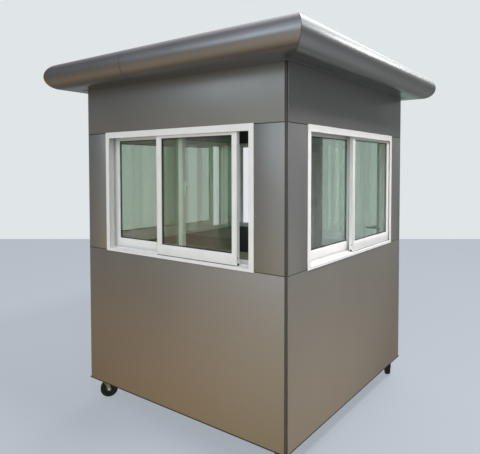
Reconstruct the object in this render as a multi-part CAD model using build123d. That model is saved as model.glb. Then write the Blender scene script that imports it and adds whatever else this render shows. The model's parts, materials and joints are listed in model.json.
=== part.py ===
"""Security guard booth on casters: clad walls, sliding windows, glazed door, round-nosed flat roof.

Millimetres. Origin on the ground under the booth's centre, +Z up, front wall facing -Y,
door in the back wall. One STEP file per node is written to parts/.
"""
from build123d import *
from math import cos, radians, sin
import os

os.makedirs("parts", exist_ok=True)

# --- Driving dimensions -------------------------------------------------------------------

# Booth body
booth_width = 1800.0        # outer faces of the side walls, along X
booth_depth = 1800.0        # outer faces of the front and back walls, along Y
wall_height = 2200.0        # bottom edge of the cladding to the underside of the eaves
wall_thickness = 60.0
cladding_thickness = 6.0    # outer skin, which laps over the corner posts
corner_reveal = 16.0        # strip at each vertical corner that the cladding leaves open
panel_joint = 4.0           # open joint between two cladding sheets, one above the other

# Floor and base frame
caster_height = 170.0       # ground to the underside of the base frame
base_rail_height = 80.0
base_rail_width = 60.0
middle_rail_offset = 280.0  # centre line of each middle rail from the booth's centre
floor_thickness = 18.0

# Roof
eaves_height = 190.0        # full height of the round nose
eaves_overhang = 220.0      # nose tip beyond the wall's outer face
roof_deck_thickness = 15.0
roof_beam_width = 50.0
roof_beam_spacing = 420.0
ceiling_thickness = 12.0

# Sliding windows: sizes over the outer flange
window_margin = 225.0       # corner of the wall to the flange of its window
window_height = 865.0
window_sill = 1005.0        # cladding's bottom edge to the flange's bottom edge
back_window_margin = 13.0   # inner face of the side wall to the back window's flange
back_window_gap = 50.0      # back window's flange to the door frame
flange_thickness = 4.0
flange_lap = 5.0            # flange over the edge of the wall opening
jamb_face = 37.0
jamb_pocket = 22.0          # room behind each jamb's flange, where a closed sash runs in
head_face = 43.0
sill_face = 20.0
head_pocket = 15.0          # room above the head flange's lower edge, where the sash tops run
frame_depth = 92.0          # from the wall's outer face inwards
sill_upstand_height = 27.0  # inner edge of the sill above the track
sill_upstand_thickness = 4.0

# Sashes
meeting_overlap = 65.0      # how far the two sashes of a window overlap when closed
sash_thickness = 28.0
outer_track_depth = 8.0     # wall's outer face to the outer sash
track_gap = 22.0            # between the two sashes, left for an insect screen
stile_width = 42.0
top_rail = 30.0
bottom_rail = 72.0
sash_top_clearance = 2.0
sash_side_clearance = 2.5
glass_thickness = 5.0
# How far each window's outer and inner sash stand open
window_slides = {
    "front": (115.0, 15.0),
    "right": (0.0, 0.0),
    "left": (0.0, 205.0),
    "back": (130.0, 0.0),
}

# Window latches
latch_height = 90.0
latch_width = 36.0
latch_depth = 14.0
latch_above_sill = 410.0
latch_overhang = 15.0       # past the meeting stile's edge, towards the other sash

# Door in the back wall
door_frame_width = 760.0
door_frame_face = 40.0
door_side_margin = 20.0     # door frame to the inner face of the side wall
door_lintel = 87.0          # door frame's top to the top of the wall
door_leaf_thickness = 40.0
door_gap = 5.0
door_lock_gap = 8.0         # wider, so that the swinging corner clears the jamb
door_stop_width = 12.0
door_stop_thickness = 10.0
door_stile = 50.0
door_top_rail = 60.0
door_bottom_rail = 120.0
door_lock_rail = 80.0
door_glass_bottom = 800.0   # cladding's bottom edge to the lock rail's top edge
door_panel_thickness = 20.0
threshold_height = 15.0

# Door hinges and handle
hinge_heights = [300.0, 1245.0, 1760.0]  # hinge's lower end above the cladding's bottom edge
hinge_length = 80.0
hinge_knuckle_radius = 8.0
hinge_pin_radius = 4.0
hinge_pin_clearance = 0.05
hinge_axis_offset = 9.0     # hinge axis inside the leaf's inner face
hinge_plate_width = 32.0
hinge_plate_thickness = 2.5
hinge_knuckle_gap = 0.4
handle_height = 1000.0      # above the floor
handle_plate_width = 32.0
handle_plate_height = 180.0
handle_plate_thickness = 5.0
handle_neck_radius = 9.0
handle_projection = 45.0
lever_length = 120.0
lever_height = 18.0
lever_thickness = 12.0

# Counter inside the front wall
counter_depth = 480.0
counter_thickness = 30.0
counter_below_sill = 5.0    # counter's top below the flange's bottom edge

# Casters
caster_inset = 70.0         # swivel axis from the walls' outer faces
wheel_radius = 65.0
wheel_width = 38.0
wheel_edge_radius = 7.0
hub_radius = 16.0
hub_width = 46.0
axle_radius = 6.0
axle_clearance = 0.1
axle_nut_radius = 11.0
axle_nut_length = 8.0
caster_trail = 40.0
caster_plate_size = 100.0
caster_plate_thickness = 4.0
race_radius = 28.0
race_gap = 0.3
upper_race_height = 10.0
lower_race_height = 6.0
crown_thickness = 4.0
crown_wheel_gap = 14.0      # crown's underside above the wheel's top
leg_thickness = 4.0
leg_gap = 5.0               # wheel's side to the fork leg
leg_top_width = 56.0
leg_foot_radius = 14.0
kingpin_radius = 6.0
kingpin_clearance = 0.1
kingpin_head_radius = 10.0
kingpin_head_height = 4.0
kingpin_head_gap = 2.0
# Heading of each caster's wheel from its swivel axis, in degrees from +X
caster_headings = {
    "front_left": 53.0,
    "front_right": 250.0,
    "back_right": 120.0,
    "back_left": 70.0,
}

# --- Derived levels and lines -------------------------------------------------------------

half_width = booth_width / 2
half_depth = booth_depth / 2
inner_half_width = half_width - wall_thickness
inner_half_depth = half_depth - wall_thickness
wall_bottom = caster_height
wall_top = wall_bottom + wall_height
floor_bottom = wall_bottom + base_rail_height
floor_top = floor_bottom + floor_thickness
roof_top = wall_top + eaves_height
sill_level = wall_bottom + window_sill
opening_bottom = sill_level + flange_lap
opening_top = sill_level + window_height - flange_lap
sash_bottom = sill_level + sill_face
pocket_top = sill_level + window_height - head_face + head_pocket
inner_track_depth = outer_track_depth + sash_thickness + track_gap
threshold_bottom = floor_top - threshold_height + door_gap
threshold_top = threshold_bottom + threshold_height
door_head_top = wall_top - door_lintel
door_head_bottom = door_head_top - door_frame_face
leaf_bottom = threshold_top + door_gap
leaf_top = door_head_bottom - door_gap
counter_top_level = sill_level - counter_below_sill


# --- Small helpers ------------------------------------------------------------------------

def slab(low, high):
    """Box between two opposite corners."""
    size = [high[i] - low[i] for i in range(3)]
    middle = [(high[i] + low[i]) / 2 for i in range(3)]
    return Pos(*middle) * Box(*size)


def post(x, y, low, high, radius):
    """Upright cylinder between two heights."""
    return Pos(x, y, (low + high) / 2) * Cylinder(radius, high - low)


def write(name, *shapes):
    """Export one node, made of one or more separate solids."""
    solids = [solid for shape in shapes for solid in shape.solids()]
    node = solids[0] if len(solids) == 1 else Compound(children=solids)
    node.label = name
    export_step(node, f"parts/{name}.step")


# A wall is drawn in its own frame: X to the right as seen from outside, Y inwards from the
# wall's outer face, Z up from the ground. These places turn that frame onto the four sides.
wall_places = {
    "front": Pos(0, -half_depth, 0),
    "right": Pos(half_width, 0, 0) * Rot(0, 0, 90),
    "back": Pos(0, half_depth, 0) * Rot(0, 0, 180),
    "left": Pos(-half_width, 0, 0) * Rot(0, 0, -90),
}


def wall_half_length(side):
    """Half the outer length of a wall, from the booth's centre to its corner."""
    return half_width if side in ("front", "back") else half_depth


def window_width(side):
    """Width over the flange of the centred window in a wall."""
    return 2 * (wall_half_length(side) - window_margin)


# --- Base and floor -----------------------------------------------------------------------

def build_base():
    """Steel rails inside the walls, with the floor board on top."""
    low, high = wall_bottom, floor_bottom
    outer, inner = inner_half_width, inner_half_width - base_rail_width
    side_rails = [
        slab((-outer, -inner_half_depth, low), (-inner, inner_half_depth, high)),
        slab((inner, -inner_half_depth, low), (outer, inner_half_depth, high)),
    ]
    write("base_side_rails", *side_rails)

    end_rail = inner_half_depth - base_rail_width / 2
    centres = (-end_rail, -middle_rail_offset, middle_rail_offset, end_rail)
    cross_rails = []
    for centre in centres:
        front, back = centre - base_rail_width / 2, centre + base_rail_width / 2
        cross_rails.append(slab((-inner, front, low), (inner, back, high)))
    write("base_cross_rails", *cross_rails)

    floor = slab(
        (-inner_half_width, -inner_half_depth, floor_bottom),
        (inner_half_width, inner_half_depth, floor_top),
    )
    write("floor_board", floor)


# --- Walls --------------------------------------------------------------------------------

def build_corner_posts():
    """Four square posts behind the cladding's edges."""
    size = wall_thickness - cladding_thickness
    posts = []
    for x_side in (-1, 1):
        for y_side in (-1, 1):
            x = x_side * (inner_half_width + size / 2)
            y = y_side * (inner_half_depth + size / 2)
            block = Pos(x, y, (wall_bottom + wall_top) / 2) * Box(size, size, wall_height)
            posts.append(block)
    write("corner_posts", *posts)


def wall_panel(side, left, right, low, high):
    """Part of a wall; an end left as None runs to the corner, where the cladding laps the post.

    The cladding stops half a joint short of the sheet above or below it.
    """
    half = wall_half_length(side)
    core_end = half - wall_thickness
    skin_end = half - corner_reveal
    core_left, skin_left = (-core_end, -skin_end) if left is None else (left, left)
    core_right, skin_right = (core_end, skin_end) if right is None else (right, right)
    skin_low = low if low == wall_bottom else low + panel_joint / 2
    skin_high = high if high == wall_top else high - panel_joint / 2
    core = slab((core_left, cladding_thickness, low), (core_right, wall_thickness, high))
    skin = slab((skin_left, 0, skin_low), (skin_right, cladding_thickness, skin_high))
    return wall_places[side] * (core + skin)


def build_windowed_wall(side):
    """Wall with one centred window: lower part, the two piers, and upper part."""
    edge = window_width(side) / 2 - flange_lap
    write(f"{side}_wall_lower", wall_panel(side, None, None, wall_bottom, opening_bottom))
    write(
        f"{side}_wall_piers",
        wall_panel(side, None, -edge, opening_bottom, opening_top),
        wall_panel(side, edge, None, opening_bottom, opening_top),
    )
    write(f"{side}_wall_upper", wall_panel(side, None, None, opening_top, wall_top))


# Across the back wall, in its own frame: the door frame, then the window
door_left = -inner_half_width + door_side_margin
door_right = door_left + door_frame_width
back_window_left = door_right + back_window_gap
back_window_right = inner_half_width - back_window_margin
back_window_width = back_window_right - back_window_left
back_window_centre = (back_window_left + back_window_right) / 2


def build_back_wall():
    """Wall with the doorway and a narrower window, split into plain slabs around them."""
    window_left = back_window_left + flange_lap
    window_right = back_window_right - flange_lap
    write("back_wall_foot", wall_panel("back", None, None, wall_bottom, threshold_bottom))
    write(
        "back_wall_lower",
        wall_panel("back", door_right, None, threshold_bottom, opening_bottom),
    )
    write(
        "back_wall_piers",
        wall_panel("back", None, door_left, threshold_bottom, door_head_top),
        wall_panel("back", door_right, window_left, opening_bottom, opening_top),
        wall_panel("back", window_right, None, opening_bottom, opening_top),
    )
    write(
        "back_wall_header",
        wall_panel("back", door_right, None, opening_top, door_head_top),
    )
    write("back_wall_upper", wall_panel("back", None, None, door_head_top, wall_top))


# --- Roof ---------------------------------------------------------------------------------

def build_roof():
    """Four mitred eaves boxes with a half-round nose, closed by a deck and a ceiling."""
    nose_radius = eaves_height / 2
    for side, place in wall_places.items():
        half = wall_half_length(side)
        tip = half + eaves_overhang
        # Section across the eaves: Y is the depth inwards from the wall's outer face
        nose_centre = -eaves_overhang + nose_radius
        section = Pos(0, (nose_centre + wall_thickness) / 2, wall_top + nose_radius) * Box(
            2 * tip, wall_thickness - nose_centre, eaves_height
        )
        nose = Pos(0, nose_centre, wall_top + nose_radius) * Rot(0, 90, 0)
        section = section + nose * Cylinder(nose_radius, 2 * tip)
        # Plan of the eaves, mitred at 45 degrees at both ends
        inner_end = half - wall_thickness
        plan = Polygon(
            (-tip, -eaves_overhang),
            (tip, -eaves_overhang),
            (inner_end, wall_thickness),
            (-inner_end, wall_thickness),
            align=None,
        )
        mitre = extrude(Pos(0, 0, wall_top) * plan, eaves_height)
        write(f"eaves_{side}", place * (section & mitre))

    deck_bottom = roof_top - roof_deck_thickness
    beams = []
    for step in (-1, 0, 1):
        left = step * roof_beam_spacing - roof_beam_width / 2
        right = left + roof_beam_width
        beams.append(slab((left, -inner_half_depth, wall_top), (right, inner_half_depth, deck_bottom)))
    write("roof_beams", *beams)

    corner_x, corner_y = inner_half_width, inner_half_depth
    write("roof_deck", slab((-corner_x, -corner_y, deck_bottom), (corner_x, corner_y, roof_top)))
    ceiling_bottom = wall_top - ceiling_thickness
    write("ceiling", slab((-corner_x, -corner_y, ceiling_bottom), (corner_x, corner_y, wall_top)))


# --- Sliding windows ----------------------------------------------------------------------

def ring(outer, inner, front, back):
    """Upright rectangular ring; outer and inner are (left, right, low, high)."""
    left, right, low, high = outer
    body = slab((left, front, low), (right, back, high))
    left, right, low, high = inner
    return body - slab((left, front, low), (right, back, high))


def window_frame(centre, width):
    """Fixed frame: flange outside the wall, and the box that the sashes run in."""
    half = width / 2
    clear = half - jamb_face
    low, high = sill_level, sill_level + window_height
    flange = ring(
        (centre - half, centre + half, low, high),
        (centre - clear, centre + clear, sash_bottom, high - head_face),
        -flange_thickness,
        0,
    )
    body_half = half - flange_lap
    run = clear + jamb_pocket
    body = ring(
        (centre - body_half, centre + body_half, opening_bottom, opening_top),
        (centre - run, centre + run, sash_bottom, pocket_top),
        0,
        frame_depth,
    )
    upstand = slab(
        (centre - run, frame_depth - sill_upstand_thickness, sash_bottom),
        (centre + run, frame_depth, sash_bottom + sill_upstand_height),
    )
    return flange + body + upstand


def sash_run(width):
    """Half the width between the faces where the closed sashes of a window stop."""
    return width / 2 - jamb_face + jamb_pocket - sash_side_clearance


def sash_size(width):
    """Width and height of each of a window's two sashes."""
    return sash_run(width) + meeting_overlap / 2, pocket_top - sash_top_clearance - sash_bottom


def sash(left, width, track_depth):
    """One sash frame and its pane, standing on the sill track."""
    sash_width, sash_height = sash_size(width)
    right, top = left + sash_width, sash_bottom + sash_height
    pane_edges = (left + stile_width, right - stile_width, sash_bottom + bottom_rail, top - top_rail)
    frame = ring(
        (left, right, sash_bottom, top), pane_edges, track_depth, track_depth + sash_thickness
    )
    pane_front = track_depth + (sash_thickness - glass_thickness) / 2
    pane = slab(
        (pane_edges[0], pane_front, pane_edges[2]),
        (pane_edges[1], pane_front + glass_thickness, pane_edges[3]),
    )
    return frame, pane


def latch(left, width):
    """Catch on the inside of the inner sash's meeting stile, hooked past its edge."""
    sash_width, _ = sash_size(width)
    right = left + sash_width + latch_overhang
    back = inner_track_depth + sash_thickness
    low = sash_bottom + latch_above_sill
    return slab(
        (right - latch_width, back, low),
        (right, back + latch_depth, low + latch_height),
    )


def build_window(side, centre, width):
    """Frame, outer sash at the right and inner sash at the left, as seen from outside."""
    place = wall_places[side]
    outer_slide, inner_slide = window_slides[side]
    sash_width, _ = sash_size(width)
    outer_left = centre + sash_run(width) - sash_width - outer_slide
    inner_left = centre - sash_run(width) + inner_slide
    outer_frame, outer_pane = sash(outer_left, width, outer_track_depth)
    inner_frame, inner_pane = sash(inner_left, width, inner_track_depth)
    write(f"{side}_window_frame", place * window_frame(centre, width))
    write(f"{side}_window_sashes", place * outer_frame, place * inner_frame)
    write(f"{side}_window_glass", place * outer_pane, place * inner_pane)
    return place * latch(inner_left, width)


# --- Door ---------------------------------------------------------------------------------

hinge_line = door_right - door_frame_face - door_gap / 2
hinge_axis_depth = wall_thickness + hinge_axis_offset


def build_door_frame():
    """Jambs with a stop along the outside, a head between them and a low threshold."""
    place = wall_places["back"]
    stop_back = wall_thickness - door_leaf_thickness - door_gap
    stop_front = stop_back - door_stop_thickness
    clear_left, clear_right = door_left + door_frame_face, door_right - door_frame_face
    left_jamb = slab((door_left, 0, threshold_bottom), (clear_left, wall_thickness, door_head_top))
    right_jamb = slab((clear_right, 0, threshold_bottom), (door_right, wall_thickness, door_head_top))
    left_jamb = left_jamb + slab(
        (clear_left, stop_front, threshold_top),
        (clear_left + door_stop_width, stop_back, door_head_bottom),
    )
    right_jamb = right_jamb + slab(
        (clear_right - door_stop_width, stop_front, threshold_top),
        (clear_right, stop_back, door_head_bottom),
    )
    write("door_jambs", place * left_jamb, place * right_jamb)

    head = slab((clear_left, 0, door_head_bottom), (clear_right, wall_thickness, door_head_top))
    head = head + slab(
        (clear_left + door_stop_width, stop_front, door_head_bottom - door_stop_width),
        (clear_right - door_stop_width, stop_back, door_head_bottom),
    )
    sill = slab((clear_left, 0, threshold_bottom), (clear_right, wall_thickness, threshold_top))
    write("door_head_and_threshold", place * head, place * sill)


def build_door_leaf():
    """Leaf with stiles, three rails, a pane above the lock rail and a panel below it."""
    place = wall_places["back"]
    left = door_left + door_frame_face + door_lock_gap
    right = door_right - door_frame_face - door_gap
    front, back = wall_thickness - door_leaf_thickness, wall_thickness
    glass_low = wall_bottom + door_glass_bottom
    glass_high = leaf_top - door_top_rail
    pane_left, pane_right = left + door_stile, right - door_stile
    leaf = slab((left, front, leaf_bottom), (right, back, leaf_top))
    leaf = leaf - slab((pane_left, front, glass_low), (pane_right, back, glass_high))
    panel_low, panel_high = leaf_bottom + door_bottom_rail, glass_low - door_lock_rail
    leaf = leaf - slab((pane_left, front, panel_low), (pane_right, back, panel_high))
    panel_front = (front + back - door_panel_thickness) / 2
    panel = slab(
        (pane_left, panel_front, panel_low),
        (pane_right, panel_front + door_panel_thickness, panel_high),
    )
    write("door_leaf", place * leaf)
    write("door_panel", place * panel)
    pane_front = (front + back - glass_thickness) / 2
    pane = slab(
        (pane_left, pane_front, glass_low), (pane_right, pane_front + glass_thickness, glass_high)
    )
    write("door_glass", place * pane)

    # Lever handles on both faces, over the middle of the lock stile
    handle_x = left + door_stile / 2
    handle_z = floor_top + handle_height
    handles = []
    for face, outward in ((front, -1), (back, 1)):
        plate_back = face + outward * handle_plate_thickness
        lever_near = face + outward * (handle_projection - lever_thickness)
        lever_far = face + outward * handle_projection
        plate = slab(
            (
                handle_x - handle_plate_width / 2,
                min(face, plate_back),
                handle_z - handle_plate_height / 2,
            ),
            (
                handle_x + handle_plate_width / 2,
                max(face, plate_back),
                handle_z + handle_plate_height / 2,
            ),
        )
        neck_length = handle_projection - lever_thickness / 2
        neck_centre = face + outward * neck_length / 2
        neck = Pos(handle_x, neck_centre, handle_z) * Rot(90, 0, 0)
        neck = neck * Cylinder(handle_neck_radius, neck_length)
        lever = slab(
            (handle_x - lever_height / 2, min(lever_near, lever_far), handle_z - lever_height / 2),
            (
                handle_x - lever_height / 2 + lever_length,
                max(lever_near, lever_far),
                handle_z + lever_height / 2,
            ),
        )
        handles.append(place * (plate + neck + lever))
    write("door_handles", *handles)


def build_hinges():
    """Lift-off hinges inside: lower knuckle and pin on the frame, upper knuckle on the leaf."""
    place = wall_places["back"]
    plate_near = wall_thickness
    plate_far = wall_thickness + hinge_plate_thickness
    knuckle = hinge_length / 2
    tab_reach = hinge_knuckle_radius + 2 * hinge_pin_clearance
    frame_hinges = []
    leaf_hinges = []
    for height in hinge_heights:
        low = wall_bottom + height
        middle = low + knuckle
        high = low + hinge_length
        plate = slab(
            (hinge_line + tab_reach, plate_near, low),
            (hinge_line + hinge_plate_width, plate_far, high),
        )
        tab = slab((hinge_line, plate_near, low), (hinge_line + tab_reach, plate_far, middle))
        barrel = post(hinge_line, hinge_axis_depth, low, middle, hinge_knuckle_radius)
        pin = post(hinge_line, hinge_axis_depth, low, high, hinge_pin_radius)
        frame_hinges.append(place * (plate + tab + barrel + pin))

        raised = middle + hinge_knuckle_gap
        plate = slab(
            (hinge_line - hinge_plate_width, plate_near, low),
            (hinge_line - tab_reach, plate_far, high),
        )
        tab = slab((hinge_line - tab_reach, plate_near, raised), (hinge_line, plate_far, high))
        barrel = post(hinge_line, hinge_axis_depth, raised, high, hinge_knuckle_radius)
        bore_radius = hinge_pin_radius + hinge_pin_clearance
        bore = post(hinge_line, hinge_axis_depth, raised, high, bore_radius)
        leaf_hinges.append(place * ((plate + tab + barrel) - bore))
    write("door_frame_hinges", *frame_hinges)
    write("door_leaf_hinges", *leaf_hinges)


# --- Counter ------------------------------------------------------------------------------

def build_counter():
    """Board across the inside of the front wall, just below the window sill."""
    front = -inner_half_depth
    low = counter_top_level - counter_thickness
    board = slab(
        (-inner_half_width, front, low),
        (inner_half_width, front + counter_depth, counter_top_level),
    )
    write("counter_top", board)


# --- Casters ------------------------------------------------------------------------------

wheel_top = 2 * wheel_radius
crown_bottom = wheel_top + crown_wheel_gap
crown_top = crown_bottom + crown_thickness
lower_race_top = crown_top + lower_race_height
plate_bottom = caster_height - caster_plate_thickness


def caster_position(corner):
    """Swivel axis of the caster at a named corner."""
    y_side = -1 if corner.startswith("front") else 1
    x_side = -1 if corner.endswith("left") else 1
    return x_side * (half_width - caster_inset), y_side * (half_depth - caster_inset)


def caster_plate(x, y):
    """Top plate with the upper race and the kingpin."""
    half = caster_plate_size / 2
    plate = slab((x - half, y - half, plate_bottom), (x + half, y + half, caster_height))
    race = post(x, y, lower_race_top + race_gap, plate_bottom, race_radius)
    head_top = crown_bottom - kingpin_head_gap
    pin = post(x, y, head_top, plate_bottom, kingpin_radius)
    head = post(x, y, head_top - kingpin_head_height, head_top, kingpin_head_radius)
    return plate + race + pin + head


def caster_fork():
    """Fork about its swivel axis, with the wheel's axle towards +X."""
    leg_inner = wheel_width / 2 + leg_gap
    leg_outer = leg_inner + leg_thickness
    half_top = leg_top_width / 2
    crown = slab((-half_top, -leg_outer, crown_bottom), (half_top, leg_outer, crown_top))
    fork = crown + post(0, 0, crown_top, lower_race_top, race_radius)
    for inner in (-leg_outer, leg_inner):
        outline = Polygon(
            (-half_top, crown_bottom),
            (caster_trail - leg_foot_radius, wheel_radius),
            (caster_trail + leg_foot_radius, wheel_radius),
            (half_top, crown_bottom),
            align=None,
        )
        outline = outline + Pos(caster_trail, wheel_radius) * Circle(leg_foot_radius)
        leg_plane = Plane(origin=(0, inner + leg_thickness, 0), x_dir=(1, 0, 0), z_dir=(0, -1, 0))
        fork = fork + extrude(leg_plane * outline, leg_thickness)
    lying = Rot(90, 0, 0)
    axle = Pos(caster_trail, 0, wheel_radius) * lying
    fork = fork + axle * Cylinder(axle_radius, 2 * leg_outer)
    for side in (-1, 1):
        nut_centre = side * (leg_outer + axle_nut_length / 2)
        nut = Pos(caster_trail, nut_centre, wheel_radius) * lying
        fork = fork + nut * Cylinder(axle_nut_radius, axle_nut_length)
    return fork - post(0, 0, crown_bottom, lower_race_top, kingpin_radius + kingpin_clearance)


def caster_wheel():
    """Tyred wheel with a hub that nearly reaches the fork legs."""
    lying = Pos(caster_trail, 0, wheel_radius) * Rot(90, 0, 0)
    tyre = Cylinder(wheel_radius, wheel_width)
    tyre = fillet(tyre.edges().filter_by(GeomType.CIRCLE), wheel_edge_radius)
    hub = Cylinder(hub_radius, hub_width)
    bore = Cylinder(axle_radius + axle_clearance, hub_width)
    return lying * ((tyre + hub) - bore)


def build_casters():
    """Four swivel casters, each turned to its own heading."""
    plates = []
    for corner, heading in caster_headings.items():
        x, y = caster_position(corner)
        plates.append(caster_plate(x, y))
        place = Pos(x, y, 0) * Rot(0, 0, heading)
        write(f"{corner}_caster_fork", place * caster_fork())
        write(f"{corner}_caster_wheel", place * caster_wheel())
        direction = cos(radians(heading)), sin(radians(heading))
        axle = x + caster_trail * direction[0], y + caster_trail * direction[1]
        print(f"{corner}: swivel axis ({x:.1f}, {y:.1f}), wheel centre ({axle[0]:.3f}, {axle[1]:.3f})")
    write("caster_plates", *plates)


# --- Whole booth --------------------------------------------------------------------------

build_base()
build_corner_posts()
for windowed_side in ("front", "right", "left"):
    build_windowed_wall(windowed_side)
build_back_wall()
build_roof()

latches = [
    build_window("front", 0, window_width("front")),
    build_window("right", 0, window_width("right")),
    build_window("left", 0, window_width("left")),
    build_window("back", back_window_centre, back_window_width),
]
write("window_latches", *latches)

build_door_frame()
build_door_leaf()
build_hinges()
build_counter()
build_casters()
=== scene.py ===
# %% [markdown]
# A security guard booth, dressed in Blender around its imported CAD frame.
#
# The booth is a square cabin of grey composite panels on four casters. Its construction (walls,
# windows, door, roof and casters at their real sizes) comes in as a fixed frame. Each cell
# below models or finishes one piece of it, in metres, in the frame's own axes.

# %% Load the frame
import json
import math

import bmesh
import bpy
from mathutils import Matrix, Vector


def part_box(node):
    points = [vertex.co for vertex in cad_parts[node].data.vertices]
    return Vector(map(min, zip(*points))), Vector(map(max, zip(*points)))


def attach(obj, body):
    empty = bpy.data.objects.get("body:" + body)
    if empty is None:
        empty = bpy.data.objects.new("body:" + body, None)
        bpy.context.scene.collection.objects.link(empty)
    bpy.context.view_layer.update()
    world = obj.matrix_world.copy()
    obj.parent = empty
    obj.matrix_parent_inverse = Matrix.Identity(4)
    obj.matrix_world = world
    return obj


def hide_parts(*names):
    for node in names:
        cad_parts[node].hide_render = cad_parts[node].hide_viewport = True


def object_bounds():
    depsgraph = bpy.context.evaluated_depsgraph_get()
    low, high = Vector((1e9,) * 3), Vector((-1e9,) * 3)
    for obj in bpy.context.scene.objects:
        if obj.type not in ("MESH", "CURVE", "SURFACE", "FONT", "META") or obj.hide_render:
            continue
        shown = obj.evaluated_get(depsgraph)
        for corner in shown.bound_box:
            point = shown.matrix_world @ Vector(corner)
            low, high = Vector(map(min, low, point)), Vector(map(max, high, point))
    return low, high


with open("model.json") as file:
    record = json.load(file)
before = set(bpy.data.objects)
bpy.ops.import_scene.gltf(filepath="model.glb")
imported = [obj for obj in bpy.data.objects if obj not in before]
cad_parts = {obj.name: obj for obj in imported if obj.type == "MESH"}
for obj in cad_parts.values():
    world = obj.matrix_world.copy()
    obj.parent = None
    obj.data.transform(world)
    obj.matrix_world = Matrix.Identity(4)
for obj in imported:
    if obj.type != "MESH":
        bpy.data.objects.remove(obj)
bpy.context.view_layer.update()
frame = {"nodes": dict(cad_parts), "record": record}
scene = bpy.context.scene

# %% [markdown]
# The camera stands at the front right corner, a little above eye level for someone outside,
# and looks slightly down. Its film is shifted a touch, which places the booth in the frame
# without another turn of the camera. Colours are shown as they are, with no film curve.

# %% Camera
VIEW_HEADING = 35.63  # degrees to the left of +Y
VIEW_DIP = 2.08  # degrees below level
camera_data = bpy.data.cameras.new("camera")
camera_data.sensor_width = 36.0
camera_data.lens = 36.22
camera_data.shift_x = -0.0418
camera_data.shift_y = -0.0860
camera_data.clip_end = 200.0
camera = bpy.data.objects.new("camera", camera_data)
camera.location = (2.321, -3.135, 1.781)
camera.rotation_euler = (math.radians(90 - VIEW_DIP), 0.0, math.radians(VIEW_HEADING))
scene.collection.objects.link(camera)
scene.camera = camera
scene.view_settings.view_transform = "Standard"
print("camera at", tuple(round(x, 3) for x in camera.location))

# %% [markdown]
# A finished mesh needs the same last steps every time: outward normals, smooth shading that
# stays sharp at real edges, a material, and a body to ride on. One helper does them all, so
# that each piece below is only its shape. Shapes are gathered in a bmesh, Blender's editable
# mesh, and moved with its own operators.

# %% Finishing helper
SHARP_ANGLE = math.radians(32)


def finish_piece(bm, name, material, body, slot, *nodes):
    """Turn a bmesh into an object that rides on a body and stands for some CAD nodes."""
    bmesh.ops.recalc_face_normals(bm, faces=bm.faces)
    mesh = bpy.data.meshes.new(name)
    bm.to_mesh(mesh)
    bm.free()
    mesh.polygons.foreach_set("use_smooth", [True] * len(mesh.polygons))
    mesh.set_sharp_from_angle(angle=SHARP_ANGLE)
    mesh.materials.append(material)
    obj = bpy.data.objects.new(name, mesh)
    scene.collection.objects.link(obj)
    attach(obj, body)
    if nodes:
        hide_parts(*nodes)
    print(name, len(mesh.polygons), "faces")
    return obj


# %% [markdown]
# Most of the booth is cut from sheet, bar and extruded sections, so three shapes cover nearly
# all of it. The first two start from Blender's own cube and cone: a box with rounded edges,
# and a round bar. Both are made at the origin, bevelled there, and then moved to their place.

# %% Boxes and bars
def edges_of(verts):
    """Edges that join the given vertices."""
    return list({edge for vert in verts for edge in vert.link_edges})


def round_off(bm, verts, edges, radius, segments):
    """Bevel some edges of a fresh shape and return all of its vertices."""
    made = bmesh.ops.bevel(
        bm, geom=edges, offset=radius, segments=segments, profile=0.5, affect="EDGES", material=-1,
    )
    fresh = {vert for face in made["faces"] for vert in face.verts}
    return list(fresh | {vert for vert in verts if vert.is_valid})


def add_box(bm, low, high, bevel=0.0, place=None, segments=2):
    """Box between two corners, with its edges rounded off."""
    low, high = Vector(low), Vector(high)
    verts = bmesh.ops.create_cube(bm, size=1.0)["verts"]
    bmesh.ops.scale(bm, vec=high - low, verts=verts)
    bmesh.ops.translate(bm, vec=(low + high) / 2, verts=verts)
    if bevel:
        verts = round_off(bm, verts, edges_of(verts), bevel, segments)
    if place is not None:
        bmesh.ops.transform(bm, matrix=place, verts=verts)
    return verts


def add_round(bm, centre, axis, radius, length, segments=32, bevel=0.0, place=None, tip=None):
    """Round bar about an axis through its centre; tip gives the far end another radius."""
    verts = bmesh.ops.create_cone(
        bm, cap_ends=True, segments=segments, radius1=radius,
        radius2=radius if tip is None else tip, depth=length,
    )["verts"]
    if bevel:
        rims = [e for e in edges_of(verts) if abs(e.verts[0].co.z - e.verts[1].co.z) < 1e-7]
        verts = round_off(bm, verts, rims, bevel, 2)
    turn = Vector((0, 0, 1)).rotation_difference(Vector(axis)).to_matrix()
    bmesh.ops.rotate(bm, cent=(0, 0, 0), matrix=turn, verts=verts)
    bmesh.ops.translate(bm, vec=centre, verts=verts)
    if place is not None:
        bmesh.ops.transform(bm, matrix=place, verts=verts)
    return verts

# %% [markdown]
# The third shape is a closed section carried through a row of places: round the corners of a
# frame, along a roof's nose from mitre to mitre, or round an axle. Each outline is a loop of
# edges, and bridging each loop to the next one makes the skin between them.

# %% Carried sections
def add_sweep(bm, loops, closed=False, place=None):
    """Skin over a row of closed loops of points; open rows are capped at both ends."""
    rows = [[bm.verts.new(point) for point in loop] for loop in loops]
    edges = [[bm.edges.new((row[i - 1], row[i])) for i in range(len(row))] for row in rows]
    for i in range(0 if closed else 1, len(rows)):
        bmesh.ops.bridge_loops(bm, edges=edges[i - 1] + edges[i])
    if not closed:
        bm.faces.new(rows[0])
        bm.faces.new(rows[-1])
    verts = [vert for row in rows for vert in row]
    if place is not None:
        bmesh.ops.transform(bm, matrix=place, verts=verts)
    return verts


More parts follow.
